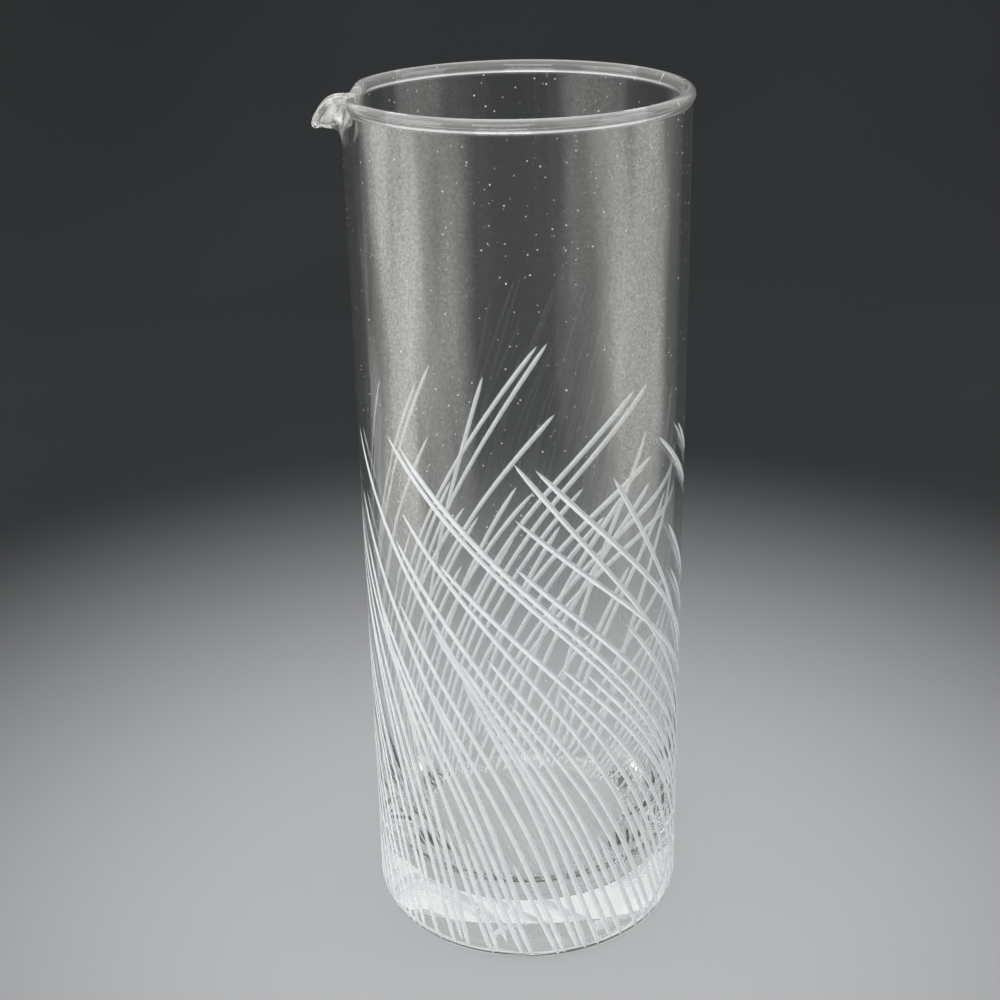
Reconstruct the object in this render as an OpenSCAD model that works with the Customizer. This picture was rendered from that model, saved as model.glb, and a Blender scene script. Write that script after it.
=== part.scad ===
// Tall straight glass cocktail pitcher: one blown vessel with a thick solid
// bottom, a round fire-polished rim and a small pinched pouring lip.
// The origin is the middle of the flat underside, +Z is up, and the lip
// points to -X. The four nodes are regions of one piece of glass and meet
// face to face.

/* [Vessel] */
// Height from the underside to the top of the rim
height = 250; // [180:5:320]
// Outside diameter of the straight wall
body_d = 93; // [80:1:110]
// Thickness of the wall
wall_t = 2.4; // [2:0.1:3]

/* [Base] */
// Thickness of the solid glass bottom
base_t = 17; // [12:1:26]
// Radius of the rounded outer edge of the bottom
foot_r = 8; // [4:0.5:11]
// Diameter of the flat floor inside
floor_d = 56; // [40:1:64]
// Height above the floor over which the wall thins to its even thickness
taper_h = 60; // [30:2:90]

/* [Rim] */
// Diameter of the round bead that the rim was melted into
rim_d = 3.8; // [3.4:0.1:4.6]

/* [Pouring lip] */
// How far the tip stands out past the outside of the wall
lip_reach = 8; // [5:0.2:11]
// How far the underside of the tip lies below the top of the rim
lip_drop = 10; // [7:0.2:12]
// Length of plain rim that is pulled out to at least half the reach
lip_w = 14; // [13:0.5:15]
// How far below the top of the rim the wall starts to bend
lip_depth = 13; // [12:0.5:20]
// Thickness of the glass where it was pulled out thin
lip_t = 1.8; // [1.4:0.1:2]
// Clear gap at the neck, where the two sides of the rim are pinched together
neck_gap = 1.8; // [1.2:0.1:4]
// How far the neck is drawn in towards the vessel's axis
neck_in = 1; // [0:0.1:1.4]
// How far the rim sinks at the neck
neck_dip = 0.6; // [0:0.1:1.2]
// Distance round the plain rim from the middle of the lip to the neck
neck_at = 9.5; // [9:0.5:12]
// Length round the plain rim over which the pinch fades out
neck_w = 5; // [4.8:0.1:6]
// Angle round the vessel that the drawn glass takes up
lip_spread = 80; // [70:5:100]

/* [Hidden] */
$fn = 96;

// Radii and heights that follow from the sizes above
body_r = body_d / 2;
inner_r = body_r - wall_t;
mid_r = body_r - wall_t / 2;
rim_r = rim_d / 2;
base_top = base_t + taper_h;
// The bead passes into the wall where it is just as thick as the wall
rim_depth = rim_r + sqrt(pow(rim_r, 2) - pow(wall_t / 2, 2));
rim_bottom = height - rim_depth;
lip_bottom = height - lip_depth;
// Overrun of every cutting shape
cut_past = 5;
// Angle between the points of the inside curve, over a quarter turn
taper_step = 5;

// The bead's thickness at the lip and the neck, as a share of its thickness elsewhere
lip_bead_share = 0.62;
lip_bead_r = rim_r * lip_bead_share;
// Reach and drop of the bead's centre line at the tip
tip_out = lip_reach + wall_t / 2 - lip_bead_r;
tip_down = lip_drop - lip_bead_r - rim_r;
// How square the lip looks from above: 2 is a bell, 4 is nearly a box
lip_edge_power = 2.8;
// How the rim curls down to the tip, seen from the side: how late it starts
// and how round it ends
curl_start_power = 3;
curl_end_power = 0.72;
// Share of its distance from the lip's middle by which the rim moves in at the neck
neck_share = 1 - (neck_gap / 2 + lip_bead_r) / (mid_r * sin(neck_at / mid_r * 180 / PI));
// Heights of the bend's two inner handles, on the plain rim and then at the tip:
// the lower one's as shares of the lip's depth
low_handle_shares = [0.62, 0.69];
// The upper one's as shares of the lip's depth and of the tip's drop
high_handle_shares = [0.3, 0.9];
// How far out the upper handle lies at the tip, as a share of the tip's reach
tip_handle_share = 0.3;

// Sampling of the lip: columns round the rim, rows up the sheet, steps of bead
columns = 56;
rows = 10;
bead_steps = 12;
// Columns gather in the middle of the lip, where it bends most
gather_power = 1.5;
// Steps of the differences that give the sheet's slopes
probe_share = 0.02;
probe = wall_t * probe_share;
climb_share = 0.002;
half_round = lip_spread / 2 * PI / 180 * mid_r;

function mix(a, b, k) = a + (b - a) * k;
function unit(v) = v / norm(v);

// Share of the full pull at distance s round the rim: 1 at the tip
function pull(s) = pow(0.5, pow(abs(s) / (lip_w / 2), lip_edge_power));
// Share of the full pinch at s: 1 at the neck
function pinch(s) = exp(-pow((abs(s) - neck_at) / neck_w, 2));
// Share by which the glass is drawn thin at s: 1 at the tip and at the neck
function drawn(s) = 1 - (1 - pull(s)) * (1 - pinch(s));
function bead_r(s) = rim_r * mix(1, lip_bead_share, drawn(s));
function sheet_half(s, t) = mix(wall_t, lip_t, drawn(s) * t) / 2;

// Centre of the bead at s: outwards from the wall's middle, up from the rim
function bead_out(s) = tip_out * pull(s) - neck_in * pinch(s);
function bead_up(s) =
    -rim_r - tip_down * (1 - pow(1 - pow(pull(s), curl_start_power), curl_end_power))
    - neck_dip * pow(pinch(s), 2) * (1 - pull(s));

// Handles of the curve that climbs from the wall to the bead at s
function handles(s) = [
    [0, -lip_depth],
    [0, -lip_depth * mix(low_handle_shares[0], low_handle_shares[1], pull(s))],
    [
        mix(bead_out(s), tip_out * tip_handle_share, pull(s)),
        -mix(lip_depth * high_handle_shares[0], lip_drop * high_handle_shares[1], pull(s))
    ],
    [bead_out(s), bead_up(s)]
];
function curve(h, t) =
    pow(1 - t, 3) * h[0] + 3 * pow(1 - t, 2) * t * h[1] + 3 * (1 - t) * t * t * h[2] + pow(t, 3) * h[3];

// How much of the pinch has set in at t up the curve
function fold(t) = t * t * (3 - 2 * t);
// Middle of the glass at s round the rim and t up the curve
function sheet(s, t) =
    let (
        p = curve(handles(s), t),
        a = s / mid_r * 180 / PI,
        side = 1 - neck_share * pinch(s) * fold(t)
    )
    [-mid_r * cos(a) - p[0], -mid_r * sin(a) * side, height + p[1]];
function along(s, t) = unit(sheet(s + probe, t) - sheet(s - probe, t));
function climb(s, t) = unit(sheet(s, t + climb_share) - sheet(s, t - climb_share));
function outwards(s, t) = unit(cross(along(s, t), climb(s, t)));

// How much of the curve the bead takes up at s
function bead_start(s) =
    let (h = handles(s), q = sqrt(pow(bead_r(s), 2) - pow(sheet_half(s, 1), 2)))
    1 - q / (3 * norm(h[3] - h[2]));

function sheet_side(s, side, t) = sheet(s, t) + side * sheet_half(s, t) * outwards(s, t);

// Closed section of the glass at s: up the outside, round the bead, down inside
function section(s) =
    let (
        top = bead_start(s),
        n = outwards(s, 1),
        off = cross(n, along(s, 1)),
        turn = acos(sheet_half(s, 1) / bead_r(s)),
        heel = 180 + 2 * turn
    )
    [
        for (i = [0 : rows - 1]) sheet_side(s, 1, top * i / rows),
        for (i = [0 : bead_steps])
            let (a = -turn + heel * i / bead_steps)
            sheet(s, 1) + bead_r(s) * (cos(a) * n + sin(a) * off),
        for (i = [rows - 1 : -1 : 0]) sheet_side(s, -1, top * i / rows)
    ];

// Skin over a row of closed sections with a flat face at both ends
module loft(sections) {
    m = len(sections[0]);
    n = len(sections);
    skin = [
        for (i = [0 : n - 2])
            for (j = [0 : m - 1])
                let (a = i * m + j, b = i * m + (j + 1) % m)
                each [[a, b, b + m], [a, b + m, a + m]]
    ];
    // Each end face is a ladder of triangles between the outside and the inside
    half = ceil(m / 2);
    ladder = [
        for (j = [0 : half - 2])
            let (a = j, b = j + 1, c = m - 1 - j, d = m - 2 - j)
            each d > b ? [[a, c, b], [b, c, d]] : [[a, c, b]]
    ];
    end = (n - 1) * m;
    polyhedron(
        points = [for (section = sections) each section],
        faces = concat(
            ladder,
            skin,
            [for (f = ladder) [f[2] + end, f[1] + end, f[0] + end]]
        )
    );
}

// Wedge of the vessel that belongs to the lip, from its lowest point upwards
module lip_wedge() {
    far = body_d + cut_past;
    x = -far * cos(lip_spread / 2);
    y = far * sin(lip_spread / 2);
    translate([0, 0, lip_bottom])
        linear_extrude(lip_depth + cut_past)
            polygon([[0, 0], [x, y], [x, -y]]);
}

// Inside of the thick bottom: a flat floor that rises in a quarter ellipse
module base_hollow() {
    rise = [
        for (a = [0 : taper_step : 90])
            [mix(floor_d / 2, inner_r, sin(a)), base_t + taper_h * (1 - cos(a))]
    ];
    polygon(concat(
        [[-cut_past, base_t]],
        rise,
        [[inner_r, base_top + cut_past], [-cut_past, base_top + cut_past]]
    ));
}

module base_section() {
    difference() {
        union() {
            square([body_r - foot_r, base_top]);
            translate([0, foot_r])
                square([body_r, base_top - foot_r]);
            translate([body_r - foot_r, foot_r])
                circle(foot_r);
        }
        base_hollow();
    }
}

// Solid bottom with its rounded outer edge, and the heavy wall that grows from it
module thick_base() {
    color([0.80, 0.90, 0.90, 0.6])
        rotate_extrude()
            base_section();
}

// Straight wall of even thickness, from the heavy lower wall to the bead
module side_wall() {
    color([0.86, 0.93, 0.94, 0.4])
        difference() {
            translate([0, 0, base_top])
                difference() {
                    cylinder(r = body_r, h = rim_bottom - base_top);
                    translate([0, 0, -cut_past])
                        cylinder(r = inner_r, h = rim_bottom - base_top + 2 * cut_past);
                }
            lip_wedge();
        }
}

// Round bead along the top edge, all the way from one side of the lip to the other
module rim_bead() {
    color([0.72, 0.88, 0.88, 0.7])
        difference() {
            rotate_extrude()
                intersection() {
                    translate([mid_r, height - rim_r])
                        circle(rim_r);
                    translate([0, rim_bottom])
                        square([body_d, rim_depth]);
                }
            lip_wedge();
        }
}

// Beak pulled out of the rim, with the stretch of wall and rim that it grew from
module pouring_lip() {
    span = [for (i = [0 : columns]) 2 * i / columns - 1];
    color([0.76, 0.90, 0.90, 0.6])
        loft([for (u = span) section(half_round * sign(u) * pow(abs(u), gather_power))]);
}

thick_base();
side_wall();
rim_bead();
pouring_lip();
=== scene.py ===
"""Gives a glass cocktail pitcher its looks: blown glass, ground cuts and a plain studio.

Every size is in metres, in the frame of the packed model: the origin is the
middle of the underside, +Z is up and the pouring lip points to -X.
"""

import math
import random

import bpy
import numpy as np
from bpy.props import FloatProperty, FloatVectorProperty, IntProperty, PointerProperty
from mathutils import Matrix, Vector, kdtree


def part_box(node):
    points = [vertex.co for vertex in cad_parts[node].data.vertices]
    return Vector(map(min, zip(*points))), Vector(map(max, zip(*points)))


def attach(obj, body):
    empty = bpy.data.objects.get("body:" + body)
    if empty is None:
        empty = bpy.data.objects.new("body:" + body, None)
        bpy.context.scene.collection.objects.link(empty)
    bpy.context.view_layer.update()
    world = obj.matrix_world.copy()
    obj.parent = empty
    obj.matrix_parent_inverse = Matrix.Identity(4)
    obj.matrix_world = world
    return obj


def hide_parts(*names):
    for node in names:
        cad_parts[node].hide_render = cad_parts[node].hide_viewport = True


bl_info = {
    "name": "Cut Glass Cocktail Pitcher",
    "version": (1, 0, 0),
    "blender": (4, 5, 0),
    "location": "View3D > Sidebar > Pitcher",
    "description": "Builds a blown glass pitcher with ground strokes, and a studio for it",
    "category": "Object",
}

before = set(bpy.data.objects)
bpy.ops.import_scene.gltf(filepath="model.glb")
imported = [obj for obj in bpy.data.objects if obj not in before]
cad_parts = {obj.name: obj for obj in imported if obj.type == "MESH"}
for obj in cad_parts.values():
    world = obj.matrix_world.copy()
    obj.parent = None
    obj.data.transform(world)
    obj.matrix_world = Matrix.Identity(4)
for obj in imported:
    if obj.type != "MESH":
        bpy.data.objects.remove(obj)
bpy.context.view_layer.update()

MM = 0.001
BASE_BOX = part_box("thick_base")
RIM_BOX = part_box("rim_bead")

# Materials of the vessel's pieces, in the order of their slots
CLEAR, SEAM, GROUND = range(3)


def length(name, description, default):
    """A property for a size in metres."""
    return FloatProperty(name=name, description=description, default=default, unit="LENGTH")


def colour(name, description, default):
    """A property for a colour without alpha."""
    return FloatVectorProperty(
        name=name, description=description, default=default, size=3, min=0, max=1, subtype="COLOR"
    )


class PITCHER_PG_vessel(bpy.types.PropertyGroup):
    """Sizes of the blown vessel."""

    height: length("Height", "Underside to the top of the rim", RIM_BOX[1].z)
    body_d: length("Body diameter", "Outside of the straight wall", 2 * BASE_BOX[1].x)
    wall_t: length("Wall", "Thickness of the straight wall", 2.4 * MM)
    base_t: length("Bottom", "Thickness of the solid glass bottom", 17 * MM)
    foot_r: length("Foot radius", "Rounded outer edge of the bottom", 8 * MM)
    floor_d: length("Floor diameter", "Flat floor inside", 56 * MM)
    base_top: length("Top of the heavy wall", "Where the wall is even", BASE_BOX[1].z)
    rim_d: length("Bead", "Diameter of the round bead at the rim", 3.8 * MM)


class PITCHER_PG_lip(bpy.types.PropertyGroup):
    """Sizes of the pinched pouring lip."""

    reach: length("Reach", "How far the tip stands out past the wall", 8 * MM)
    drop: length("Drop", "How far the tip's underside lies below the rim", 10 * MM)
    width: length("Width", "Length of rim that is pulled out", 14 * MM)
    depth: length("Depth", "Where the wall starts to bend, below the rim", 13 * MM)
    thickness: length("Thickness", "Glass where it was pulled out thin", 1.8 * MM)
    neck_gap: length("Neck gap", "Clear gap between the pinched sides", 1.8 * MM)
    neck_in: length("Neck inset", "How far the neck is drawn in", 1 * MM)
    neck_dip: length("Neck dip", "How far the rim sinks at the neck", 0.6 * MM)
    neck_at: length("Neck place", "From the lip's middle, round the rim", 9.5 * MM)
    neck_w: length("Neck fade", "Length over which the pinch fades out", 5 * MM)
    spread: FloatProperty(
        name="Spread", description="Angle that the drawn glass takes up",
        default=math.radians(80), subtype="ANGLE",
    )


class PITCHER_PG_strokes(bpy.types.PropertyGroup):
    """Sizes of the strokes that a wheel cut into the outside."""

    width: length("Width", "Width of a stroke at its middle", 1.6 * MM)
    depth: length("Depth", "Depth of a stroke at its middle", 0.45 * MM)
    step: length("Step", "Length of one straight piece of a stroke", 2.4 * MM)
    seed: IntProperty(name="Seed", description="Seed of the lower bands", default=7)


class PITCHER_PG_finish(bpy.types.PropertyGroup):
    """Colours of the glass."""

    clear: colour("Clear glass", "Tint of the clear glass", (0.985, 0.995, 0.993))
    edge: colour("Glass edge", "Tint where glass is seen edge on", (0.80, 0.93, 0.93))
    ground: colour("Ground glass", "Colour of the ground cuts", (0.97, 0.98, 0.985))
    # Colour of the matt layer on the glass: fine dust, and also the painted sheen and highlights
    # that the same layer carries
    dust_and_sheen: colour("Dust", "Colour of the fine dust on the glass", (0.89, 0.885, 0.82))


class PITCHER_PG_studio(bpy.types.PropertyGroup):
    """The plain studio round the pitcher."""

    # The paper fades from the floor colour to the backdrop colour away from the pitcher: a
    # painted pool of light
    floor: colour("Floor", "Colour of the floor", (0.40, 0.404, 0.41))
    wall: colour("Backdrop", "Colour of the backdrop", (0.006, 0.0063, 0.0066))
    # A painted glow: the paper away from the pitcher gives off this faint light of its own
    even: colour("Even tone", "Tone of the unlit backdrop", (0.016, 0.017, 0.018))
    walls: colour("Dim walls", "Glow of the air near the horizon", (0.07, 0.072, 0.075))
    ceiling: colour("Ceiling", "Glow of the air overhead", (0.84, 0.85, 0.86))
    floor_r: length("Floor radius", "Flat part of the floor", 0.62)
    cove_r: length("Cove radius", "Bend from the floor to the backdrop", 0.36)
    wall_h: length("Backdrop height", "Height of the backdrop", 0.37)


def between(a, b, k):
    """The value a share k of the way from a to b."""
    return a + (b - a) * k


def unit(vector):
    """A vector of length 1 in the same direction."""
    return vector / np.linalg.norm(vector)


def bend(steps):
    """Shares out and up along a quarter of a circle, from upright to flat."""
    angles = [math.pi / 2 * (1 - i / steps) for i in range(steps + 1)]
    return [(math.sin(a), 1 - math.cos(a)) for a in angles]


class VesselShape:
    """The surface of the vessel, as the packed model has it, for any place round it.

    A place round the rim is a distance s from the middle of the lip along the
    middle of the wall.
    """

    # How thin the lip's bead is, how square the lip is, and how its rim curls down
    bead_share, edge_power, curl_start, curl_end = 0.62, 2.8, 3, 0.72
    # Places of the bend's handles on the plain rim and at the tip
    low_handles, high_handles, tip_handle = (0.62, 0.69), (0.3, 0.9), 0.3
    # Steps of the differences that give the slopes
    probe, climb_step = 0.05 * MM, 0.002
    # Into how many steps each run of points is divided
    sheet_rows, bead_steps, foot_steps, taper_steps = 20, 24, 16, 30
    lower_steps, upper_steps = 4, 8
    # Radii of the rings of points inside the flat underside and the flat floor
    under_rings = (12 * MM, 24 * MM)
    floor_rings = (18 * MM, 9 * MM)

    def __init__(self, vessel, lip):
        self.vessel = vessel
        self.lip = lip
        self.body_r = vessel.body_d / 2
        self.inner_r = self.body_r - vessel.wall_t
        self.mid_r = self.body_r - vessel.wall_t / 2
        self.rim_r = vessel.rim_d / 2
        self.small_bead = self.rim_r * self.bead_share
        self.tip_out = lip.reach + vessel.wall_t / 2 - self.small_bead
        self.tip_down = lip.drop - self.small_bead - self.rim_r
        self.neck_share = 1 - (lip.neck_gap / 2 + self.small_bead) / (
            self.mid_r * math.sin(lip.neck_at / self.mid_r)
        )
        self.lip_bottom = vessel.height - lip.depth

    def pull(self, s):
        """Share of the full pull: 1 at the tip."""
        return 0.5 ** ((abs(s) / (self.lip.width / 2)) ** self.edge_power)

    def pinch(self, s):
        """Share of the full pinch: 1 at the neck."""
        return math.exp(-(((abs(s) - self.lip.neck_at) / self.lip.neck_w) ** 2))

    def drawn(self, s):
        """Share by which the glass is drawn thin: 1 at the tip and at the neck."""
        return 1 - (1 - self.pull(s)) * (1 - self.pinch(s))

    def half(self, s, t):
        """Half the thickness of the glass."""
        return between(self.vessel.wall_t, self.lip.thickness, self.drawn(s) * t) / 2

    def handles(self, s):
        """Handles of the curve that climbs from the wall to the bead."""
        lip, pull, pinch = self.lip, self.pull(s), self.pinch(s)
        out = self.tip_out * pull - lip.neck_in * pinch
        curl = 1 - (1 - pull**self.curl_start) ** self.curl_end
        up = -self.rim_r - self.tip_down * curl
        up -= lip.neck_dip * pinch**2 * (1 - pull)
        low = between(*self.low_handles, pull)
        plain_high, tip_high = self.high_handles
        high = between(lip.depth * plain_high, lip.drop * tip_high, pull)
        far = between(out, self.tip_out * self.tip_handle, pull)
        return np.array([[0, -lip.depth], [0, -lip.depth * low], [far, -high], [out, up]])

    def sheet(self, s, t):
        """Middle of the glass at s round the rim and t up the curve."""
        h = self.handles(s)
        u = 1 - t
        p = u**3 * h[0] + 3 * u * u * t * h[1] + 3 * u * t * t * h[2] + t**3 * h[3]
        angle = s / self.mid_r
        rise = max(t, 0)
        fold = rise * rise * (3 - 2 * rise)
        side = 1 - self.neck_share * self.pinch(s) * fold
        x = -self.mid_r * math.cos(angle) - p[0]
        y = -self.mid_r * math.sin(angle) * side
        return np.array([x, y, self.vessel.height + p[1]])

    def along(self, s, t):
        """Direction round the rim."""
        return unit(self.sheet(s + self.probe, t) - self.sheet(s - self.probe, t))

    def outwards(self, s, t):
        """Direction out of the glass."""
        climb = self.sheet(s, t + self.climb_step) - self.sheet(s, t - self.climb_step)
        return unit(np.cross(self.along(s, t), climb))

    def section(self, s):
        """Rows up the outside, round the bead and down the inside."""
        bead_r = between(self.rim_r, self.small_bead, self.drawn(s))
        half = self.half(s, 1)
        h = self.handles(s)
        overlap = math.sqrt(bead_r**2 - half**2)
        top = 1 - overlap / (3 * np.linalg.norm(h[3] - h[2]))
        centre = self.sheet(s, 1)
        away = self.outwards(s, 1)
        over = np.cross(away, self.along(s, 1))
        turn = math.acos(half / bead_r)
        outside, inside = [], []
        for i in range(self.sheet_rows):
            t = top * i / self.sheet_rows
            middle = self.sheet(s, t)
            reach = self.half(s, t) * self.outwards(s, t)
            outside.append(middle + reach)
            inside.insert(0, middle - reach)
        bead = []
        for i in range(self.bead_steps + 1):
            angle = -turn + (math.pi + 2 * turn) * i / self.bead_steps
            bead.append(centre + bead_r * (math.cos(angle) * away + math.sin(angle) * over))
        return outside, bead, inside

    def outer(self, angle, z):
        """A place on the outside and the direction out of the glass there.

        The angle is counted from the front, -Y, towards +X.
        """
        foot_r = self.vessel.foot_r
        radius, rise = self.body_r, 0
        if z < foot_r:
            tilt = math.asin((foot_r - z) / foot_r)
            radius = self.body_r - foot_r + foot_r * math.cos(tilt)
            rise = -math.sin(tilt)
        flat = math.sqrt(1 - rise**2)
        x, y = math.sin(angle), -math.cos(angle)
        return Vector((radius * x, radius * y, z)), Vector((flat * x, flat * y, rise))

    def column(self, angle):
        """Named runs of points from the middle of the underside to that of the floor."""
        vessel = self.vessel
        round_the_axis = np.array([-math.cos(angle), -math.sin(angle), 0])

        def at(radius, z):
            return radius * round_the_axis + np.array([0, 0, z])

        foot_r = vessel.foot_r
        flat_r = self.body_r - foot_r
        foot = [at(radius, 0) for radius in self.under_rings]
        for out, up in reversed(bend(self.foot_steps)):
            foot.append(at(flat_r + foot_r * out, foot_r * up))
        top = vessel.base_top
        for i in range(1, self.lower_steps):
            foot.append(at(self.body_r, between(foot_r, top, i / self.lower_steps)))
        shares = [i / self.upper_steps for i in range(self.upper_steps)]
        upper = [between(top, self.lip_bottom, share) for share in shares]
        outside, bead, inside = self.section(angle * self.mid_r)
        taper = []
        for out, up in bend(self.taper_steps):
            radius = between(vessel.floor_d / 2, self.inner_r, out)
            taper.append(at(radius, between(vessel.base_t, top, up)))
        return {
            "foot": foot,
            "wall out": [at(self.body_r, z) for z in upper],
            "sheet out": outside,
            "bead": bead,
            "sheet in": inside,
            "wall in": [at(self.inner_r, z) for z in reversed(upper[1:])],
            "floor": taper + [at(radius, vessel.base_t) for radius in self.floor_rings],
        }


class VesselGrid:
    """All points of the vessel in rows and columns, with a smooth normal for each."""

    fine_columns = 96
    plain_columns = 200
    # The lip's columns gather in its middle, where it bends most
    gather_power = 1.3

    def __init__(self, shape):
        spread = shape.lip.spread / 2
        angles = []
        for i in range(self.fine_columns + 1):
            u = 2 * i / self.fine_columns - 1
            angles.append(spread * math.copysign(abs(u) ** self.gather_power, u))
        rest = 2 * math.pi - 2 * spread
        for i in range(1, self.plain_columns):
            angles.append(spread + rest * i / self.plain_columns)
        columns = [shape.column(a) for a in angles]
        self.runs = {}
        start = 0
        for name, points in columns[0].items():
            self.runs[name] = list(range(start, start + len(points)))
            start += len(points)
        self.points = np.array([sum(c.values(), []) for c in columns])
        self.count = len(angles)
        self.rows = start
        self.ring = list(range(self.count)) + [0]
        self.lip_columns = self.ring[: self.fine_columns + 1]
        self.plain = self.ring[self.fine_columns :]
        around = np.roll(self.points, -1, 0) - np.roll(self.points, 1, 0)
        axis = (0, 0, 1)
        under, over = self.points[:, :1] * axis, self.points[:, -1:] * axis
        padded = np.concatenate([under, self.points, over], 1)
        climb = padded[:, 2:] - padded[:, :-2]
        normals = np.cross(around, climb)
        self.normals = normals / np.linalg.norm(normals, axis=2, keepdims=True)


class ClosedPiece:
    """One closed region of the glass, built from rows and columns of the grid."""

    def __init__(self, grid):
        self.grid = grid
        self.index = {}
        self.points = []
        self.faces = []
        self.materials = []

    def vertex(self, i, k):
        """The number of a grid point in this piece."""
        key = (i % self.grid.count, k)
        if key not in self.index:
            self.index[key] = len(self.points)
            self.points.append(self.grid.points[key])
        return self.index[key]

    def pole(self, z):
        """A point on the axis."""
        self.points.append((0, 0, z))
        return len(self.points) - 1

    def face(self, corners, material):
        """One face with outward corners."""
        self.faces.append(corners)
        self.materials.append(material)

    def strip(self, columns, k, m, material=CLEAR):
        """Faces between rows k and m, all the way along the columns."""
        for i, j in zip(columns, columns[1:]):
            places = ((i, k), (j, k), (j, m), (i, m))
            self.face([self.vertex(*place) for place in places], material)

    def skin(self, columns, rows):
        """Faces between each row and the next."""
        for k, m in zip(rows, rows[1:]):
            self.strip(columns, k, m)

    def ends(self, columns, rows):
        """Two flat ends across the glass, as ladders between outside and inside rows."""
        for i, step in ((columns[0], 1), (columns[-1], -1)):
            a, b = 0, len(rows) - 1
            while b - a > 1:
                rungs = [rows[a], rows[a + 1], rows[b - 1], rows[b]]
                if b - a == 2:
                    rungs.pop(2)
                corners = [self.vertex(i, k) for k in rungs]
                self.face(corners[::step], SEAM)
                a, b = a + 1, b - 1

    def mesh(self, name, materials):
        """The piece as a Blender mesh."""
        mesh = bpy.data.meshes.new(name)
        mesh.from_pydata(self.points, [], self.faces)
        for material in materials:
            mesh.materials.append(material)
        mesh.polygons.foreach_set("material_index", self.materials)
        mesh.update()
        return mesh


def base_piece(grid):
    """The thick bottom with its foot, up to where the wall is even."""
    piece = ClosedPiece(grid)
    floor = grid.runs["floor"]
    outside = grid.runs["foot"] + grid.runs["wall out"][:1]
    piece.skin(grid.ring, outside)
    piece.strip(grid.ring, outside[-1], floor[0], SEAM)
    piece.skin(grid.ring, floor)
    last = grid.rows - 1
    under, over = piece.pole(0), piece.pole(grid.points[0, last, 2])
    for i, j in zip(grid.ring, grid.ring[1:]):
        piece.face([under, piece.vertex(j, 0), piece.vertex(i, 0)], CLEAR)
        piece.face([over, piece.vertex(i, last), piece.vertex(j, last)], CLEAR)
    return piece


def wall_piece(grid):
    """The straight wall, which stands lower under the lip than under the bead."""
    piece = ClosedPiece(grid)
    runs = grid.runs
    out = runs["wall out"] + runs["sheet out"][:1]
    inside = runs["sheet in"][-1:] + runs["wall in"] + runs["floor"][:1]
    piece.skin(grid.ring, out)
    piece.skin(grid.ring, inside)
    piece.strip(grid.ring, inside[-1], out[0], SEAM)
    piece.strip(grid.lip_columns, out[-1], inside[0], SEAM)
    tall_out = runs["sheet out"] + runs["bead"][:1]
    tall_in = runs["bead"][-1:] + runs["sheet in"]
    piece.skin(grid.plain, tall_out)
    piece.strip(grid.plain, tall_out[-1], tall_in[0], SEAM)
    piece.skin(grid.plain, tall_in)
    piece.ends(grid.plain, tall_out + tall_in)
    return piece


def closed_length(grid, columns, rows):
    """One length of glass between two flat ends, closed by a seam underneath."""
    piece = ClosedPiece(grid)
    piece.skin(columns, rows)
    piece.strip(columns, rows[-1], rows[0], SEAM)
    piece.ends(columns, rows)
    return piece


def bead_piece(grid):
    """The round bead, from one side of the lip to the other."""
    return closed_length(grid, grid.plain, grid.runs["bead"])


def lip_piece(grid):
    """The pinched pouring lip with the wall and the rim that it grows from."""
    rows = grid.runs["sheet out"] + grid.runs["bead"] + grid.runs["sheet in"]
    return closed_length(grid, grid.lip_columns, rows)


# Long strokes: the angle in degrees from the front towards +X and the height in
# mm where each starts, how much it swirls, and the height where it ends
FRONT_STROKES = (
    (-75, 160, 0.75, 4), (-51, 164, 1.02, 4), (-45, 162, 0.92, 5), (-45, 143, 0.90, 4),
    (-50, 134, 0.85, 24), (-32, 131, 0.98, 4), (-3, 162, 0.80, 4), (4, 160, 0.96, 30),
    (-2, 146, 1.08, 4), (-3, 132, 1.06, 6), (29, 155, 0.50, 4), (52, 162, 1.15, 4),
    (65, 162, 0.95, 5), (60, 134, 0.80, 4), (62, 119, 0.75, 4), (36, 110, 0.90, 34),
    (-23, 102, 0.98, 4), (-20, 96, 0.80, 4), (-13, 104, 1.00, 4), (12, 101, 1.15, 7),
    (20, 98, 1.05, 4), (-62, 112, 0.80, 4), (-68, 126, 0.60, 5), (80, 104, 0.90, 4),
    (-36, 92, 0.85, 4), (-84, 132, 0.70, 4), (-48, 115, 0.82, 5), (-72, 141, 0.68, 5),
    (-80, 116, 0.72, 5), (-56, 100, 0.85, 5), (-32, 110, 0.80, 5),
)
BACK_STROKES = (
    (121, 159, 0.82, 4), (129, 155, 0.86, 20), (169, 165, 0.70, 4), (173, 164, 0.80, 4),
    (195, 155, 0.45, 4), (168, 142, 0.98, 6), (218, 162, 0.70, 4), (225, 158, 0.80, 4),
    (220, 139, 0.82, 4), (252, 165, 0.75, 5), (123, 144, 0.55, 4), (117, 137, 1.05, 5),
    (117, 128, 0.75, 4), (105, 130, 0.75, 4), (174, 115, 0.85, 24), (182, 117, 0.60, 4),
    (89, 150, 0.62, 4), (262, 146, 0.65, 4), (240, 120, 0.80, 4), (205, 112, 0.95, 4),
    (152, 118, 0.75, 4), (200, 108, 0.80, 5), (208, 92, 0.85, 5), (185, 100, 0.86, 5),
    (232, 110, 0.75, 5), (251, 128, 0.66, 5), (210, 122, 0.68, 5), (166, 104, 0.80, 5),
    (146, 110, 0.80, 5), (134, 120, 0.80, 5),
)

# Shorter strokes that fill the lower part: how many, top and bottom in mm
LOW_BANDS = ((6, 98, 7), (7, 70, 6), (10, 44, 6))


def apart(a, b, whole_turn=360):
    """How far it is from one angle to another, the short way round."""
    half_turn = whole_turn / 2
    return abs((a - b + half_turn) % whole_turn - half_turn)


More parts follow.
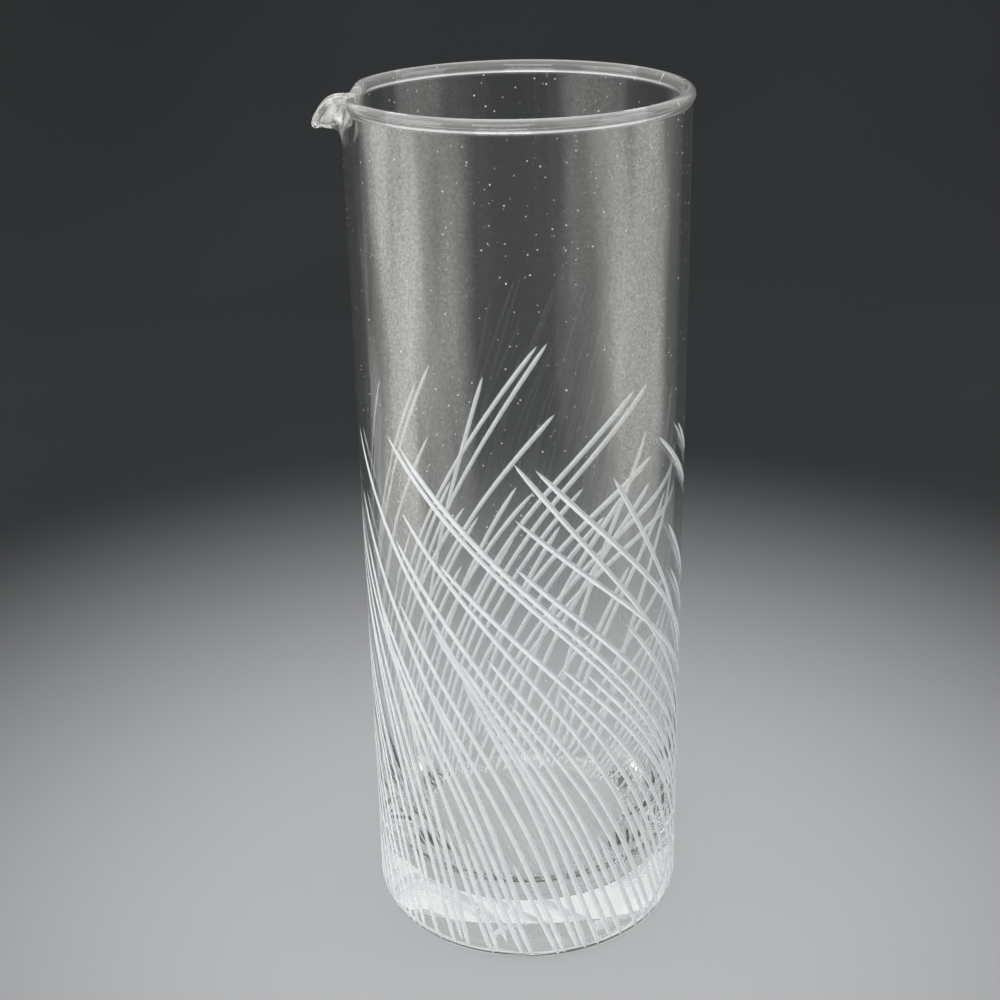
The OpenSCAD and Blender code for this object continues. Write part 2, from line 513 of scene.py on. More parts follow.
class StrokePlan:
    """Where every stroke runs on the outside of the vessel, in degrees and mm."""

    # Strokes swirl by so many degrees a mm down to the first height, then ever
    # less, and by the second rate from just under the second height
    flat_above, steep_below, just_above = 118, 36, 0.001
    flat_rate, steep_rate = 1.18, 0.52
    # Heights at which two strokes are compared, and how near counts as crowded
    heights = np.arange(16, 170, 4)
    crowded = 3.2
    # How far a stroke may be nudged round and leant over, and what each costs
    shifts, shift_cost = (0, -1, 1, -2, 2), 0.2
    leans, lean_cost = (0, -0.05, 0.05, -0.1, 0.1), 3
    # Lower ends stop short of other strokes, but never above the highest end
    end_gap, highest_end = 2.3, 70
    # Both ends run out to a point over these lengths, with a blunt curve
    top_taper, end_taper, taper_power = 7, 6, 0.4
    # Least share of the full width, and how much broader strokes get low down
    thinnest, broader_below, broader_by = 0.05, 70, 0.08
    fewest_steps = 10
    # How much the listed strokes, and then those of the lower bands, differ
    laid_sizes, low_sizes, low_swirls = (0.94, 1.08), (0.85, 1.0), (0.75, 1.05)
    low_tops, low_bottoms, low_places = (-9, 9), (-3, 5), (0.4, 0.6)
    # Strokes this many widths apart can be cut at the same time
    free_widths = 1.6

    def __init__(self, shape, settings):
        self.shape = shape
        self.settings = settings
        self.random = random.Random(settings.seed)
        self.paths = []
        self.laid = []
        self.turns = np.array([self.turn(z) for z in self.heights])
        for start, top, swirl, bottom in FRONT_STROKES + BACK_STROKES:
            self.add(start, top, swirl, bottom, self.random.uniform(*self.laid_sizes))
        for count, top, bottom in LOW_BANDS:
            self.fill(count, top, bottom)

    def turn(self, z):
        """How far a stroke has swirled at this height, counted from flat_above."""
        high, low = self.flat_above, self.steep_below
        if z >= high:
            return (high - z) * self.flat_rate
        if z <= low:
            return self.turn(low + self.just_above) + (low - z) * self.steep_rate
        fallen = (high - z) / (high - low)
        rate = self.flat_rate + (self.steep_rate - self.flat_rate) * fallen / 2
        return (high - low) * fallen * rate

    def angle(self, start, top, swirl, z):
        """Where a stroke stands round the vessel at this height."""
        return start + swirl * (self.turn(z) - self.turn(top))

    def run(self, start, top, swirl):
        """The stroke's angle at every height where strokes are compared."""
        angles = start + swirl * (self.turns - self.turn(top))
        return np.where(self.heights < top, angles, np.nan)

    def clearest(self, start, top, swirl):
        """The stroke nudged to where it runs least on top of those already laid."""
        if not self.laid:
            return start, swirl
        others = np.array([self.run(*laid) for laid in self.laid])

        def crowding(nudge):
            """How long and how near it runs to others, and how far it was nudged."""
            shift, lean = nudge
            gaps = apart(self.run(start + shift, top, swirl + lean), others)
            near = np.nansum(np.clip(self.crowded - gaps, 0, None))
            return near + self.shift_cost * abs(shift) + self.lean_cost * abs(lean)

        nudges = ((shift, lean) for shift in self.shifts for lean in self.leans)
        shift, lean = min(nudges, key=crowding)
        return start + shift, swirl + lean

    def clear_end(self, start, top, swirl, bottom):
        """The lowest height at which a stroke keeps clear of those already laid."""
        for z in range(round(bottom), self.highest_end):
            here = self.angle(start, top, swirl, z)
            others = [self.angle(*laid, z) for laid in self.laid if laid[1] > z]
            if all(apart(here, other) > self.end_gap for other in others):
                return z
        return bottom

    def fill(self, count, top, bottom):
        """Strokes that each run near the middle of the widest gap left so far."""
        vary = self.random.uniform
        for _ in range(count):
            high = top + vary(*self.low_tops)
            low = bottom + vary(*self.low_bottoms)
            swirl = vary(*self.low_swirls)
            middle = (high + low) / 2
            reaching = [laid for laid in self.laid if laid[1] > middle]
            taken = sorted(self.angle(*laid, middle) % 360 for laid in reaching)
            gaps = [b - a for a, b in zip(taken, taken[1:] + [taken[0] + 360])]
            widest = gaps.index(max(gaps))
            place = taken[widest] + gaps[widest] * vary(*self.low_places)
            start = place - swirl * (self.turn(middle) - self.turn(high))
            self.add(start, high, swirl, low, vary(*self.low_sizes))

    def add(self, start, top, swirl, bottom, size):
        """One stroke as places on the surface, with its swell at each."""
        start, swirl = self.clearest(start, top, swirl)
        bottom = self.clear_end(start, top, swirl, bottom)
        self.laid.append((start, top, swirl))
        whole = swirl * (self.turn(bottom) - self.turn(top))
        run = math.radians(whole) * self.shape.body_r
        steps = round(math.hypot(run, (top - bottom) * MM) / self.settings.step)
        steps = max(self.fewest_steps, steps)
        places = []
        for i in range(steps + 1):
            z = between(top, bottom, i / steps)
            angle = self.angle(start, top, swirl, z)
            from_top = min(1, max(0, top - z) / self.top_taper)
            from_end = min(1, max(0, z - bottom) / self.end_taper)
            broader = 1 + self.broader_by * max(0, 1 - z / self.broader_below)
            swell = size * broader * min(from_top, from_end) ** self.taper_power
            places.append((math.radians(angle), z * MM, max(swell, self.thinnest)))
        self.paths.append(places)

    def gap(self, path, other):
        """The least distance over the surface between the places of two strokes."""
        a, b = np.array(path)[:, None], np.array(other)[None]
        around = apart(a[..., 0], b[..., 0], 2 * math.pi) * self.shape.body_r
        return np.hypot(around, a[..., 1] - b[..., 1]).min()

    def groups(self):
        """The strokes in groups in which no two cross, because each group is one cut."""
        clear = self.settings.width * self.free_widths + self.settings.step
        groups = []
        for path in self.paths:
            for group in groups:
                if min(self.gap(path, other) for other in group) > clear:
                    group.append(path)
                    break
            else:
                groups.append([path])
        return groups


class Value:
    """A socket of a node tree, on which maths is written as plain maths."""

    def __init__(self, tree, socket):
        self.tree = tree
        self.socket = socket

    def maths(self, operation, *values):
        """A Math node on these values."""
        settings = {"operation": operation}
        return self.tree.out("ShaderNodeMath", dict(enumerate(values)), 0, settings)

    def __add__(self, other):
        return self.maths("ADD", self, other)

    __radd__ = __add__

    def __sub__(self, other):
        return self.maths("SUBTRACT", self, other)

    def __rsub__(self, other):
        return self.maths("SUBTRACT", other, self)

    def __mul__(self, other):
        return self.maths("MULTIPLY", self, other)

    __rmul__ = __mul__

    def __truediv__(self, other):
        return self.maths("DIVIDE", self, other)

    def __pow__(self, other):
        return self.maths("POWER", self, other)

    def smooth(self, low, high):
        """0 below low, 1 above high and a smooth step between them."""
        settings = {"interpolation_type": "SMOOTHSTEP"}
        values = {"Value": self, "From Min": low, "From Max": high}
        return self.tree.out("ShaderNodeMapRange", values, "Result", settings)


class Tree:
    """A node tree of a material, of the world or of Geometry Nodes."""

    def __init__(self, nodes):
        self.nodes = nodes

    def node(self, kind, values=None, settings=None):
        """Adds a node: its settings first, then the value or link of each socket."""
        made = self.nodes.nodes.new(kind)
        for name, setting in (settings or {}).items():
            setattr(made, name, setting)
        for name, value in (values or {}).items():
            socket = made.inputs[name]
            if isinstance(value, Value):
                self.nodes.links.new(value.socket, socket)
            else:
                socket.default_value = value
        return made

    def out(self, kind, values=None, output=0, settings=None):
        """Adds a node and gives one of its outputs."""
        return Value(self, self.node(kind, values, settings).outputs[output])

    def vectors(self, operation, output, *values):
        """A Vector Math node on these values."""
        settings = {"operation": operation}
        return self.out("ShaderNodeVectorMath", dict(enumerate(values)), output, settings)


def stroke_tree():
    """Geometry Nodes that sweep a pointed wedge along every chain of edges."""
    group = bpy.data.node_groups.new("Ground strokes", "GeometryNodeTree")

    def socket(name, kind, way="INPUT"):
        return group.interface.new_socket(name, in_out=way, socket_type="NodeSocket" + kind)

    socket("Geometry", "Geometry")
    for name in ("Width", "Depth", "Stand", "Lift"):
        socket(name, "Float").subtype = "DISTANCE"
    socket("Glass", "Material")
    socket("Geometry", "Geometry", "OUTPUT")
    tree = Tree(group)
    given = tree.node("NodeGroupInput").outputs
    chain, width, depth, stand, lift, glass = [Value(tree, s) for s in given[:6]]

    def attribute(name, kind):
        settings = {"data_type": kind}
        return tree.out("GeometryNodeInputNamedAttribute", {"Name": name}, 0, settings)

    swell = attribute("swell", "FLOAT")
    away = attribute("away", "FLOAT_VECTOR")
    # A ring of three points has its base at half its radius from the middle, and
    # the base is as long as the radius times the square root of three
    whole = depth + stand
    tall = whole / 1.5
    across = width * whole / (depth * math.sqrt(3))
    size = tree.out("ShaderNodeCombineXYZ", {"X": tall, "Y": across, "Z": 1})
    place = tree.out("ShaderNodeCombineXYZ", {"X": stand - tall * 0.5})
    ring = tree.out("GeometryNodeCurvePrimitiveCircle", {"Resolution": 3, "Radius": 1})
    turn = {"Geometry": ring, "Rotation": (0, 0, math.pi)}
    turned = tree.out("GeometryNodeTransform", turn)
    put = {"Geometry": turned, "Translation": place, "Scale": size}
    wedge = tree.out("GeometryNodeTransform", put)
    # The thin ends are lifted, so that each stroke runs out to a point
    thin = 1 - swell
    raise_by = {"Vector": away, "Scale": lift * thin.maths("MAXIMUM", thin, 0)}
    offset = tree.out("ShaderNodeVectorMath", raise_by, 0, {"operation": "SCALE"})
    raised = tree.out("GeometryNodeSetPosition", {"Geometry": chain, "Offset": offset})
    curve = tree.out("GeometryNodeMeshToCurve", {"Mesh": raised})
    normal = {"Curve": curve, "Normal": away}
    upright = tree.out("GeometryNodeSetCurveNormal", normal, 0, {"mode": "FREE"})
    along = {"Curve": upright, "Profile Curve": wedge, "Scale": swell, "Fill Caps": True}
    swept = tree.out("GeometryNodeCurveToMesh", along)
    real = tree.out("GeometryNodeRealizeInstances", {"Geometry": swept})
    painted = tree.out("GeometryNodeSetMaterial", {"Geometry": real, "Material": glass})
    tree.node("NodeGroupOutput", {"Geometry": painted})
    return group


def chains(name, paths, shape):
    """A mesh of one chain of edges for each path, with the swell and the way out."""
    points, edges, swell, away = [], [], [], []
    for path in paths:
        for number, (angle, z, size) in enumerate(path):
            if number:
                edges.append((len(points) - 1, len(points)))
            point, normal = shape.outer(angle, z)
            points.append(point)
            away.extend(normal)
            swell.append(size)
    mesh = bpy.data.meshes.new(name)
    mesh.from_pydata(points, edges, [])
    mesh.attributes.new("swell", "FLOAT", "POINT").data.foreach_set("value", swell)
    mesh.attributes.new("away", "FLOAT_VECTOR", "POINT").data.foreach_set("vector", away)
    return mesh


def link(name, data):
    """A new object in the scene."""
    made = bpy.data.objects.new(name, data)
    bpy.context.scene.collection.objects.link(made)
    return made


def bake(obj):
    """Applies the object's modifiers."""
    bpy.context.view_layer.update()
    seen = obj.evaluated_get(bpy.context.evaluated_depsgraph_get())
    mesh = bpy.data.meshes.new_from_object(seen)
    obj.modifiers.clear()
    obj.data = mesh


def sweep(tree, chain, values):
    """A closed wedge along each chain, as a plain object."""
    cutter = link(chain.name, chain)
    made = cutter.modifiers.new("Ground strokes", "NODES")
    made.node_group = tree
    for item in tree.interface.items_tree:
        if item.in_out == "INPUT" and item.name in values:
            made[item.identifier] = values[item.name]
    bake(cutter)
    return cutter


def cut(piece, cutter):
    """Takes the cutter's wedges out of the piece."""
    made = piece.modifiers.new("Cut", "BOOLEAN")
    made.operation = "DIFFERENCE"
    made.solver = "MANIFOLD"
    made.object = cutter
    made.material_mode = "INDEX"
    bake(piece)


# How far a wedge stands out of the glass, and how far its thin ends are lifted, in
# depths of a stroke
STAND, LIFT = 0.6, 0.15


def cut_strokes(piece, shape, settings, ground):
    """Cuts every stroke into the piece."""
    tree = stroke_tree()
    values = {
        "Width": settings.width,
        "Depth": settings.depth,
        "Stand": settings.depth * STAND,
        "Lift": settings.depth * LIFT,
        "Glass": ground,
    }
    for number, paths in enumerate(StrokePlan(shape, settings).groups()):
        cutter = sweep(tree, chains(f"strokes_{number}", paths, shape), values)
        cut(piece, cutter)
        bpy.data.objects.remove(cutter)
    bpy.data.node_groups.remove(tree)


def shade_smooth(piece, grid, shape):
    """Gives clear faces the normals of the true surface, and others their own."""
    mesh = piece.data
    tree = kdtree.KDTree(grid.count * grid.rows)
    for index, point in enumerate(grid.points.reshape(-1, 3)):
        tree.insert(point, index)
    tree.balance()
    smooth = grid.normals.reshape(-1, 3)
    same_place = 0.002 * MM
    foot_r = shape.vessel.foot_r
    flat_r = shape.body_r - foot_r
    known = []
    for vertex in mesh.vertices:
        _, index, gap = tree.find(vertex.co)
        if gap < same_place:
            known.append(Vector(smooth[index]))
            continue
        x, y, z = vertex.co
        radius = math.hypot(x, y)
        if radius < MM:
            known.append(Vector((0, 0, -1 if z < foot_r else 1)))
            continue
        out = Vector((radius - flat_r, min(z - foot_r, 0))) if z < foot_r else Vector((1, 0))
        out.normalize()
        known.append(Vector((x / radius * out.x, y / radius * out.x, out.y)))
    normals = [None] * len(mesh.loops)
    for face in mesh.polygons:
        clear = face.material_index == CLEAR
        for loop in face.loop_indices:
            vertex = mesh.loops[loop].vertex_index
            normals[loop] = known[vertex] if clear else face.normal.copy()
    mesh.shade_smooth()
    mesh.normals_split_custom_set(normals)
    mesh.update()


def new_material(name):
    """A material with an empty tree."""
    material = bpy.data.materials.new(name)
    material.use_nodes = True
    material.node_tree.nodes.clear()
    return material, Tree(material.node_tree)


def noise(tree, place, scale, detail):
    """A soft random pattern with this many features a metre."""
    return tree.out("ShaderNodeTexNoise", {"Vector": place, "Scale": scale, "Detail": detail})


def relief(tree, strength, distance, height):
    """Fine relief, which only the light shows."""
    values = {"Strength": strength, "Distance": distance, "Height": height}
    return tree.out("ShaderNodeBump", values)


def mix_colours(tree, factor, a, b):
    """The colour a share of the way from a to b."""
    values = {0: factor, 6: (*a, 1), 7: (*b, 1)}
    return tree.out("ShaderNodeMix", values, 2, {"data_type": "RGBA"})


def mix_shaders(tree, factor, a, b):
    """The shader a share of the way from a to b."""
    return tree.out("ShaderNodeMixShader", {0: factor, 1: a, 2: b})


def finish_glass(tree, shader, clarity):
    """Ends a glass material, and lets light reach what is behind it."""
    through = tree.out("ShaderNodeBsdfTransparent", {"Color": (*clarity, 1)})
    for kind in ("Is Diffuse Ray", "Is Shadow Ray"):
        ray = tree.out("ShaderNodeLightPath", None, kind)
        shader = mix_shaders(tree, ray, shader, through)
    tree.node("ShaderNodeOutputMaterial", {"Surface": shader})


# Upright bands of painted sheen, which stand in for soft reflections of light from
# the sides: angle from the front and half width in degrees, and how strong each is
PAINTED_SHEEN_BANDS = (
    (-46, 15, 1.6), (-35, 20, 0.7), (44, 14, 0.8), (40, 21, 0.9),
    (148, 17, 0.5), (213, 17, 0.5), (96, 14, 0.3),
)
# Share of a band's half width over which it is at its strongest
BAND_CORE = 0.15

# Features a metre of the patterns in the glass and in the film on it, in the
# ground cuts and in the studio's paper
WAVES, FOLDS, SMEARS, STREAKS, DROPLETS, GRAINS = 16, 330, 90, 110, 1250, 330
GRIT, PATCHES = 3200, 240
CLOUDS, FIBRES = 3, 700

GLASS_IOR = 1.5
# Share of the light that passes each surface on its way to what is behind
CLEAR_CLARITY, GROUND_CLARITY = (0.965, 0.97, 0.97), (0.80, 0.80, 0.80)


def painted_sheen_bands(tree, place, streaks):
    """How strong the painted sheen is in its upright bands, with uneven edges."""
    sideways = tree.vectors("NORMALIZE", 0, tree.vectors("MULTIPLY", 0, place, (1, 1, 0)))
    painted_sheen = 0.0
    for angle, half, strength in PAINTED_SHEEN_BANDS:
        a = math.radians(angle)
        middle = (math.sin(a), -math.cos(a), 0)
        uneven = tree.vectors("DOT_PRODUCT", "Value", sideways, middle) + (streaks - 0.5) * 0.08
        edge, core = [math.cos(math.radians(half * share)) for share in (1, BAND_CORE)]
        painted_sheen = painted_sheen + strength * uneven.smooth(edge, core)
    return painted_sheen


def haze_and_painted_light(tree, place):
    """How much of the glass lies under the matt layer: droplets, streaks and dusty specks, with
    painted sheen in upright bands, a painted highlight on the rim and painted light low on the
    bottom.
    """
    height = tree.out("ShaderNodeSeparateXYZ", {"Vector": place}, "Z")
    streaks = noise(tree, tree.vectors("MULTIPLY", 0, place, (1, 1, 0.12)), STREAKS, 2)
    droplets = noise(tree, place, DROPLETS, 2).smooth(0.38, 0.66)
    cells = tree.node("ShaderNodeTexVoronoi", {"Vector": place, "Scale": GRAINS})
    away, hue = [Value(tree, cells.outputs[name]) for name in ("Distance", "Color")]
    lot = tree.out("ShaderNodeSeparateXYZ", {"Vector": hue}, "X")
    specks = lot**2 * (1 - away.smooth(0.045, 0.12))
    # A painted highlight: the matt layer is thicker on the rim's bead, which brightens it in
    # place of the bright lines that light draws along it
    rim = height.smooth(RIM_BOX[0].z - 1.1 * MM, RIM_BOX[0].z + 0.9 * MM)
    # Painted light: a little more of the matt layer low down whitens the thick bottom, as light
    # gathered in it would
    foot = 1 - height.smooth(15 * MM, 70 * MM)
    # Painted sheen in upright bands on the upper wall, kept off the rim
    painted_sheen = painted_sheen_bands(tree, place, streaks) * height.smooth(90 * MM, 170 * MM) * (1 - rim)
    # An even dusty haze and droplets along the streaks, then the painted rim highlight and the
    # painted light low down
    amount = 0.008 + 0.016 * droplets * streaks + 0.10 * rim + 0.02 * foot
    amount = amount + painted_sheen * (0.05 + 0.11 * streaks + 0.08 * droplets)
    return amount + 1.1 * specks


def near_lip(tree, place):
    """1 in the middle of the pinched lip and 0 on the plain rim and wall."""
    middle = (-RIM_BOX[1].x, 0, RIM_BOX[1].z - 5 * MM)
    return 1 - tree.vectors("DISTANCE", "Value", place, middle).smooth(6 * MM, 17 * MM)


def clear_glass(name, finish, tint, wavy, folded):
    """Clear blown glass with a cool tint seen edge on, slow waves and a thin matt layer, which
    holds dusty specks and also painted sheen, highlights and light.
    """
    material, tree = new_material(name)
    place = tree.out("ShaderNodeTexCoord", None, "Object")
    facing = tree.out("ShaderNodeLayerWeight", {"Blend": 0.5}, "Facing")
    edge_on = (facing**3 * tint).smooth(0.0, 1.0)
    waves = noise(tree, place, WAVES, 1)
    amount = haze_and_painted_light(tree, place)
    if folded:
        folds = noise(tree, tree.vectors("MULTIPLY", 0, place, (1, 1, 0.4)), FOLDS, 1)
        near = near_lip(tree, place)
        waves = waves + near * folded * folds
        # Painted highlights on the drawn lip: the matt layer whitens it a little, and much more
        # along the folds, in place of the glints that light makes there
        amount = amount + near * (0.05 + 0.30 * folds.smooth(0.50, 0.58))
    values = {
        "Base Color": mix_colours(tree, edge_on, finish.clear, finish.edge),
        "Roughness": 0.01 + 0.03 * noise(tree, place, SMEARS, 3),
        "IOR": GLASS_IOR,
        "Transmission Weight": 1.0,
        "Normal": relief(tree, 1.0, wavy, waves),
    }
    glass = tree.out("ShaderNodeBsdfPrincipled", values)
    # The matt layer: real dust, and also the painted sheen, rim highlight, lip highlights and
    # bottom light that the amount lays on
    matt = {"Base Color": (*finish.dust_and_sheen, 1), "Roughness": 0.9}
    dust_and_sheen = tree.out("ShaderNodeBsdfPrincipled", matt)
    finish_glass(tree, mix_shaders(tree, amount, glass, dust_and_sheen), CLEAR_CLARITY)
    return material


def ground_glass(finish):
    """The frosted surface that a grinding wheel leaves."""
    material, tree = new_material("ground_cuts")
    place = tree.out("ShaderNodeTexCoord", None, "Object")
    grit = noise(tree, place, GRIT, 2)
    patches = noise(tree, place, PATCHES, 3)
    white = mix_colours(tree, patches.smooth(0.3, 0.7), finish.ground, (0.86, 0.89, 0.90))
    values = {
        "Base Color": white,
        "Roughness": 0.5 + patches * 0.25,
        "IOR": GLASS_IOR,
        "Transmission Weight": 0.15,
        "Normal": relief(tree, 0.5, 0.06 * MM, grit),
    }
    glass = tree.out("ShaderNodeBsdfPrincipled", values)
    finish_glass(tree, glass, GROUND_CLARITY)
    return material


def seam_glass():
    """The unseen faces where two regions of the one glass meet."""
    material, tree = new_material("glass_meets_glass")
    through = tree.out("ShaderNodeBsdfTransparent", {"Color": (1, 1, 1, 1)})
    tree.node("ShaderNodeOutputMaterial", {"Surface": through})
    return material


# How strong the cool tint is, how high the slow waves are, and how much higher
# the folds of the drawn lip are; a lip with folds also gets painted highlights
GLASSES = {
    "blown_base_glass": (0.9, 0.08 * MM, 0),
    "blown_wall_glass": (0.9, 0.08 * MM, 0),
    "blown_rim_glass": (1.1, 0.06 * MM, 0),
    "drawn_lip_glass": (0.9, 0.08 * MM, 3.4),
}


def material_named(name, finish):
    """The material of that name, made once."""
    if name in bpy.data.materials:
        return bpy.data.materials[name]
    if name in GLASSES:
        return clear_glass(name, finish, *GLASSES[name])
    return ground_glass(finish) if name == "ground_cuts" else seam_glass()


# The surface and its grid for every set of sizes met so far
known_grids = {}


def grid_of(scene):
    """The vessel's surface and its grid, worked out once for the same sizes."""
    vessel, lip = scene.pitcher_vessel, scene.pitcher_lip
    key = tuple(getattr(group, name) for group in (vessel, lip) for name in group.__annotations__)
    if key not in known_grids:
        shape = VesselShape(vessel, lip)
        known_grids[key] = shape, VesselGrid(shape)
    return known_grids[key]


class PieceOperator:
    """What the operators of the vessel's pieces share."""

    bl_options = {"REGISTER", "UNDO"}
    cut = False

    def execute(self, context):
        """Makes the piece, cuts it where it has strokes, and ties it to the frame."""
        scene = context.scene
        shape, grid = grid_of(scene)
        if not 0 < shape.neck_share < 1:
            raise RuntimeError("the lip's neck is wider than the rim it is pinched from")
        names = [self.glass, "glass_meets_glass"] + (["ground_cuts"] if self.cut else [])
        materials = [material_named(name, scene.pitcher_finish) for name in names]
        piece = link(self.piece, self.build(grid).mesh(self.piece, materials))
        if self.cut:
            cut_strokes(piece, shape, scene.pitcher_strokes, materials[GROUND])
        shade_smooth(piece, grid, shape)
        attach(piece, "root")
        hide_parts(self.node)
        return {"FINISHED"}


class PITCHER_OT_bottom(PieceOperator, bpy.types.Operator):
    """Make the thick bottom with the lower ends of the strokes"""

    bl_idname = "pitcher.make_bottom"
    bl_label = "Thick bottom"
    piece, node, slot, cut = "cut_glass_bottom", "thick_base", "base_glass", True
    glass = "blown_base_glass"
    build = staticmethod(base_piece)


class PITCHER_OT_wall(PieceOperator, bpy.types.Operator):
    """Make the straight wall with its strokes"""

    bl_idname = "pitcher.make_wall"
    bl_label = "Straight wall"
    piece, node, slot, cut = "cut_glass_wall", "side_wall", "wall_glass", True
    glass = "blown_wall_glass"
    build = staticmethod(wall_piece)


class PITCHER_OT_rim(PieceOperator, bpy.types.Operator):
    """Make the round fire-polished bead"""

    bl_idname = "pitcher.make_rim"
    bl_label = "Rim bead"
    piece, node, slot = "fire_polished_rim", "rim_bead", "rim_glass"
    glass = "blown_rim_glass"
    build = staticmethod(bead_piece)


class PITCHER_OT_lip(PieceOperator, bpy.types.Operator):
    """Make the pinched pouring lip"""

    bl_idname = "pitcher.make_lip"
    bl_label = "Pouring lip"
    piece, node, slot = "pinched_pouring_lip", "pouring_lip", "rim_glass"
    glass = "drawn_lip_glass"
    build = staticmethod(lip_piece)


def paper(studio):
    """Matt paper with a painted pool of light: pale under the pitcher and fading to near black
    away from it, where a faint painted glow lifts it.
    """
    material, tree = new_material("studio_paper")
    place = tree.out("ShaderNodeTexCoord", None, "Object")
    # A painted pool of light: the floor colour near the pitcher, fading to the backdrop colour
    # away from it
    painted_light_falloff = tree.vectors("LENGTH", "Value", place).smooth(0.05, 0.39)
    tone = painted_light_falloff * (0.96 + 0.04 * noise(tree, place, CLOUDS, 2))
    values = {
        "Base Color": mix_colours(tree, tone, studio.floor, studio.wall),
        "Roughness": 0.9,
        "Specular IOR Level": 0.1,
        "Normal": relief(tree, 0.2, 0.1 * MM, noise(tree, place, FIBRES, 3)),
        # A painted glow on the dim paper away from the pitcher
        "Emission Color": mix_colours(tree, tone, (0, 0, 0), studio.even),
        "Emission Strength": 1,
    }
    matt = tree.out("ShaderNodeBsdfPrincipled", values)
    tree.node("ShaderNodeOutputMaterial", {"Surface": matt})
    return material


def backdrop(studio):
    """A round floor that bends up into a backdrop on all sides."""
    floor_rings, bend_rings, turns = 6, 16, 96
    # The floor lies just under the pitcher, so that the two don't touch
    under = -0.2 * MM
    profile = [(studio.floor_r * i / floor_rings, 0) for i in range(1, floor_rings + 1)]
    for out, up in reversed(bend(bend_rings)[:-1]):
        profile.append((studio.floor_r + studio.cove_r * out, studio.cove_r * up))
    profile.append((profile[-1][0], studio.wall_h))
    points = [(0, 0, under)]
    for r, z in profile:
        for i in range(turns):
            a = 2 * math.pi * i / turns
            points.append((r * math.cos(a), r * math.sin(a), z + under))
    faces = [(0, 1 + i, 1 + (i + 1) % turns) for i in range(turns)]
    for ring in range(len(profile) - 1):
        low = 1 + ring * turns
        for i in range(turns):
            j = (i + 1) % turns
            faces.append((low + i, low + turns + i, low + turns + j, low + j))
    mesh = bpy.data.meshes.new("studio_backdrop")
    mesh.from_pydata(points, [], faces)
    mesh.shade_smooth()
    mesh.materials.append(paper(studio))
    return link("studio_backdrop", mesh)


# Soft boxes: where each stands, its width and height, and its power in watts
LAMPS = (
    ("softbox_left", (-0.78, -0.25, 0.50), (0.70, 0.80), 3.6),
    ("softbox_right", (0.78, -0.22, 0.48), (0.60, 0.80), 3.0),
    ("softbox_front", (-0.15, -0.85, 0.80), (0.60, 0.60), 4.0),
)
# What the soft boxes are turned to: the middle of the pitcher
LAMP_TARGET = Vector((0, 0, 0.12))


def lamps(studio):
    """Three soft boxes under a bright ceiling that fades to dim walls."""
    for name, place, (across, tall), watts in LAMPS:
        data = bpy.data.lights.new(name, "AREA")
        data.shape = "RECTANGLE"
        data.size, data.size_y = across, tall
        data.energy = watts
        look = (Vector(place) - LAMP_TARGET).to_track_quat("Z", "Y")
        link(name, data).matrix_world = Matrix.Translation(place) @ look.to_matrix().to_4x4()
    world = bpy.data.worlds.new("studio_air")
    world.use_nodes = True
    world.node_tree.nodes.clear()
    tree = Tree(world.node_tree)
    way = tree.out("ShaderNodeTexCoord", None, "Generated")
    rise = tree.out("ShaderNodeSeparateXYZ", {"Vector": way}, "Z")
    air = mix_colours(tree, rise.smooth(0.10, 0.50), studio.walls, studio.ceiling)
    glow = tree.out("ShaderNodeBackground", {"Color": air})
    tree.node("ShaderNodeOutputWorld", {"Surface": glow})
    bpy.context.scene.world = world


def camera():
    """A camera where the photographer stood, for a square picture."""
    distance, height = 0.450216, 0.326004
    pitch, yaw, roll = 0.40770, -0.01440, -0.02070
    focal_share = 1.6847465
    data = bpy.data.cameras.new("camera")
    data.sensor_width = 36
    data.lens = focal_share * data.sensor_width
    data.clip_start = 0.01
    data.clip_end = 20
    pose = Matrix.Translation((0, -distance, height))
    for angle, axis in ((-yaw, "Z"), (math.pi / 2 - pitch, "X"), (roll, "Z")):
        pose @= Matrix.Rotation(angle, 4, axis)
    made = link("camera", data)
    made.matrix_world = pose
    bpy.context.scene.camera = made


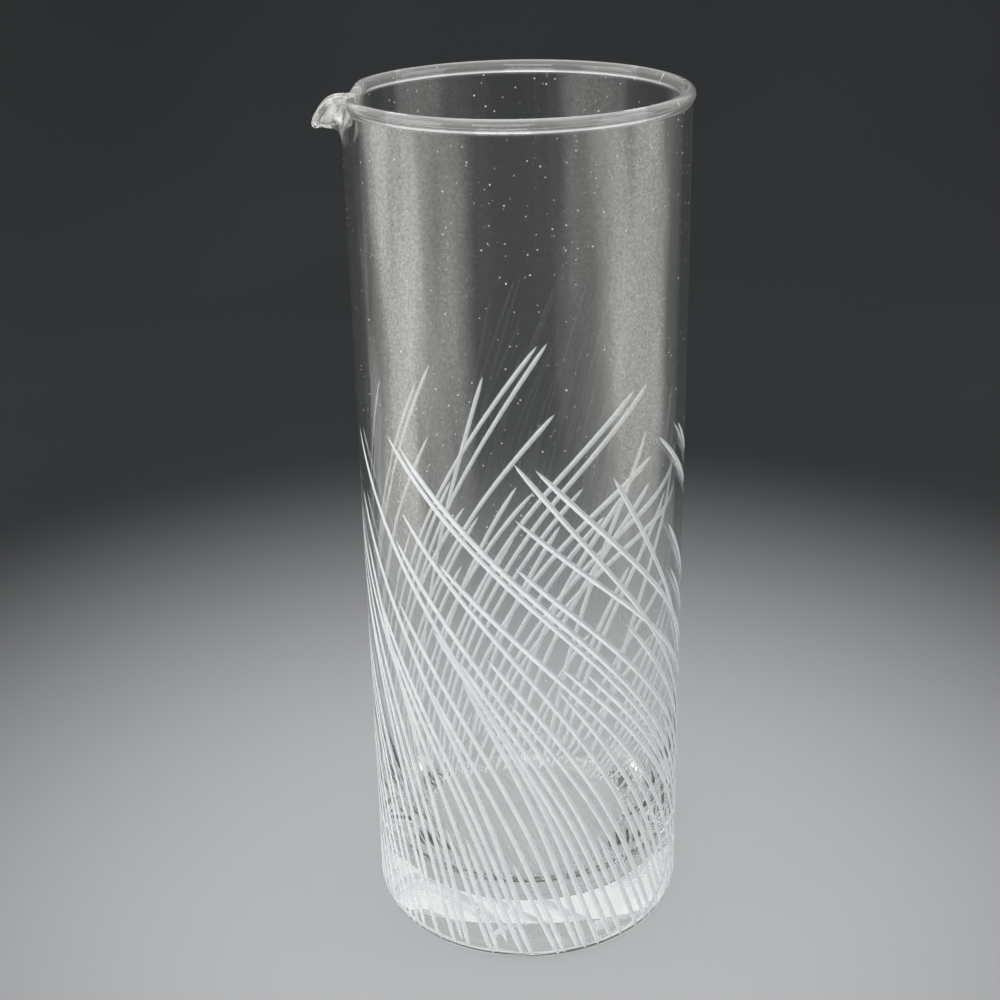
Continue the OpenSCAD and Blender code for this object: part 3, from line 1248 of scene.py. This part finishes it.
class PITCHER_OT_studio(bpy.types.Operator):
    """Make the floor, the backdrop, the lamps and the camera"""

    bl_idname = "pitcher.make_studio"
    bl_label = "Studio"
    bl_options = {"REGISTER", "UNDO"}

    def execute(self, context):
        """Builds the studio round the pitcher."""
        backdrop(context.scene.pitcher_studio)
        lamps(context.scene.pitcher_studio)
        camera()
        context.scene.view_settings.view_transform = "Standard"
        return {"FINISHED"}


OPERATORS = (
    PITCHER_OT_bottom, PITCHER_OT_wall, PITCHER_OT_rim, PITCHER_OT_lip, PITCHER_OT_studio
)
GROUPS = {
    "pitcher_vessel": PITCHER_PG_vessel,
    "pitcher_lip": PITCHER_PG_lip,
    "pitcher_strokes": PITCHER_PG_strokes,
    "pitcher_finish": PITCHER_PG_finish,
    "pitcher_studio": PITCHER_PG_studio,
}


class PITCHER_PT_sidebar(bpy.types.Panel):
    """Lists the pieces and their sizes."""

    bl_idname = "PITCHER_PT_sidebar"
    bl_label = "Cut Glass Pitcher"
    bl_space_type = "VIEW_3D"
    bl_region_type = "UI"
    bl_category = "Pitcher"

    def draw(self, context):
        """Draws the buttons and then the sizes and colours."""
        for operator in OPERATORS:
            self.layout.operator(operator.bl_idname)
        for name, group in GROUPS.items():
            box = self.layout.box()
            box.label(text=group.__doc__)
            for key in group.__annotations__:
                box.prop(getattr(context.scene, name), key)


def register():
    """Adds the classes and the settings of the scene."""
    for name, group in GROUPS.items():
        bpy.utils.register_class(group)
        setattr(bpy.types.Scene, name, PointerProperty(type=group))
    for made in (*OPERATORS, PITCHER_PT_sidebar):
        bpy.utils.register_class(made)


def unregister():
    """Takes the classes and the settings away again."""
    for made in (PITCHER_PT_sidebar, *reversed(OPERATORS)):
        bpy.utils.unregister_class(made)
    for name, group in GROUPS.items():
        delattr(bpy.types.Scene, name)
        bpy.utils.unregister_class(group)


def main():
    """Builds everything in order."""
    register()
    bpy.ops.pitcher.make_bottom()
    bpy.ops.pitcher.make_wall()
    bpy.ops.pitcher.make_rim()
    bpy.ops.pitcher.make_lip()
    bpy.ops.pitcher.make_studio()


if __name__ == "__main__":
    main()
